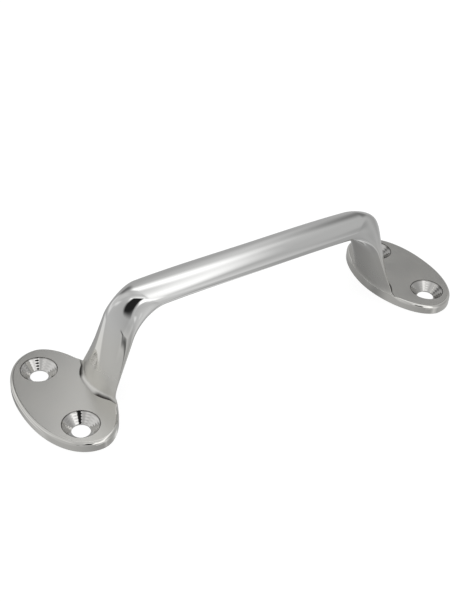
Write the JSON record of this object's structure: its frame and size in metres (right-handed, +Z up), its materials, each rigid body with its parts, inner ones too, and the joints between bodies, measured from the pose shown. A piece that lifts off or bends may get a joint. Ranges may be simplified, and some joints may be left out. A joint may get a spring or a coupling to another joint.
{
  "type": "grab rail",
  "caption": "Small polished metal grab rail: a straight oval bar on two bent legs that fan out onto D-shaped foot plates with countersunk screw holes.",
  "frame": {"origin": "middle of the mounting plane, halfway between the two feet", "axes": "+X along the rail towards the right foot, +Y across the rail, +Z up, away from the surface the rail is screwed to"},
  "size_m": [0.14, 0.041, 0.03],
  "materials": {
    "polished_metal": "mirror polished"
  },
  "bodies": {
    "root": {"grip_bar": "polished_metal", "left_leg": "polished_metal", "right_leg": "polished_metal", "left_foot": "polished_metal", "right_foot": "polished_metal"}
  },
  "joints": []
}
